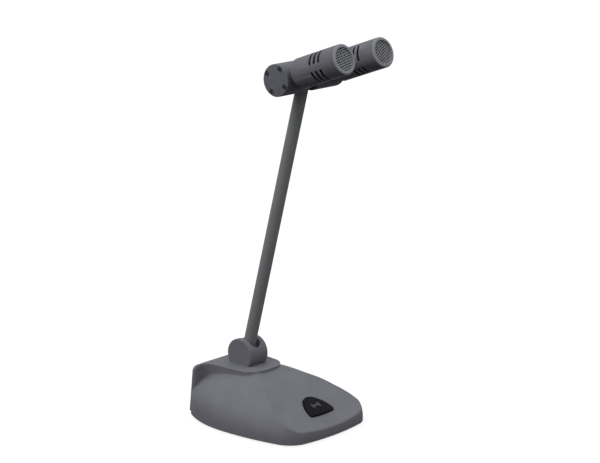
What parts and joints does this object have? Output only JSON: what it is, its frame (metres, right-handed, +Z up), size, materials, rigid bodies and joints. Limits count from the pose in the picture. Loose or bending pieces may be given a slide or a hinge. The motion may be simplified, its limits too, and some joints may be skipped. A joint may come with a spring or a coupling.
{
  "type": "desk microphone",
  "caption": "Desk microphone: wedge base with a triangular talk key, a straight stem on a friction hinge, and a crossbar holding two slotted capsules.",
  "frame": {"origin": "on the table, straight below the hinge axis of the stem", "axes": "+Z up, -Y to the front where the key and the capsules point, +X to the right seen from the front"},
  "size_m": [0.111, 0.147, 0.3127],
  "materials": {
    "grey_paint": "matt grey paint with a fine grain",
    "dark_paint": "matt dark grey paint",
    "rubber_pad": "matt",
    "key_plastic": "black, slightly satin",
    "foam": "open foam",
    "board": "green board",
    "brass": "turned",
    "copper_wire": "enamelled copper",
    "black_plastic": "moulded",
    "lead_sheath": "smooth sheath",
    "black_steel": "blackened",
    "steel": "plated"
  },
  "bodies": {
    "base": {"base_shell": "grey_paint", "base_plate": "steel", "base_pad": "rubber_pad", "plate_screws": "steel", "hinge_barrel": "grey_paint", "hinge_screws": "steel", "hinge_pin": "steel", "hinge_washers": "black_plastic", "preamp_board": "board", "board_standoffs": "brass", "board_screws": "steel", "board_capacitors": "black_plastic", "transformer_core": "steel", "transformer_winding": "copper_wire", "switch_bracket": "steel", "bracket_screws": "steel", "switch_body": "black_plastic", "socket_shell": "steel", "socket_insert": "black_plastic", "socket_contacts": "brass", "socket_screws": "steel", "base_leads": "lead_sheath"},
    "key": {"talk_key": "key_plastic", "switch_plunger": "black_plastic"},
    "stem": {"stem_tube": "grey_paint", "stem_foot": "grey_paint", "stem_head": "grey_paint", "stem_lead": "lead_sheath"},
    "head": {"crossbar": "grey_paint", "left_end_cap": "dark_paint", "right_end_cap": "dark_paint", "left_cap_screws": "black_steel", "right_cap_screws": "black_steel", "bearing_blocks": "steel", "bearing_screws": "black_steel", "head_spindle": "steel", "spindle_nuts": "brass", "head_washers": "black_plastic", "head_leads": "lead_sheath", "left_neck": "dark_paint", "left_neck_nuts": "brass", "left_sleeve": "grey_paint", "left_screen": "black_plastic", "left_holder": "black_plastic", "left_capsule": "steel", "left_foam": "foam", "left_grille": "dark_paint", "left_ring": "grey_paint", "right_neck": "dark_paint", "right_neck_nuts": "brass", "right_sleeve": "grey_paint", "right_screen": "black_plastic", "right_holder": "black_plastic", "right_capsule": "steel", "right_foam": "foam", "right_grille": "dark_paint", "right_ring": "grey_paint"}
  },
  "joints": [
    {"name": "stem_tilt", "type": "hinge", "parent": "base", "child": "stem", "pos_m": [0, 0, 0.0475], "axis": [1, 0, 0], "range_deg": [-43.7, 21.3]},
    {"name": "head_tilt", "type": "hinge", "parent": "stem", "child": "head", "pos_m": [0, -0.0566, 0.2797], "axis": [1, 0, 0], "range_deg": [-15, 45]},
    {"name": "talk_press", "type": "slide", "parent": "base", "child": "key", "axis": [0, 0.4109, -0.9117], "range_m": [0, 0.001], "stiffness_N_per_m": 400, "springref_m": -0.002}
  ]
}
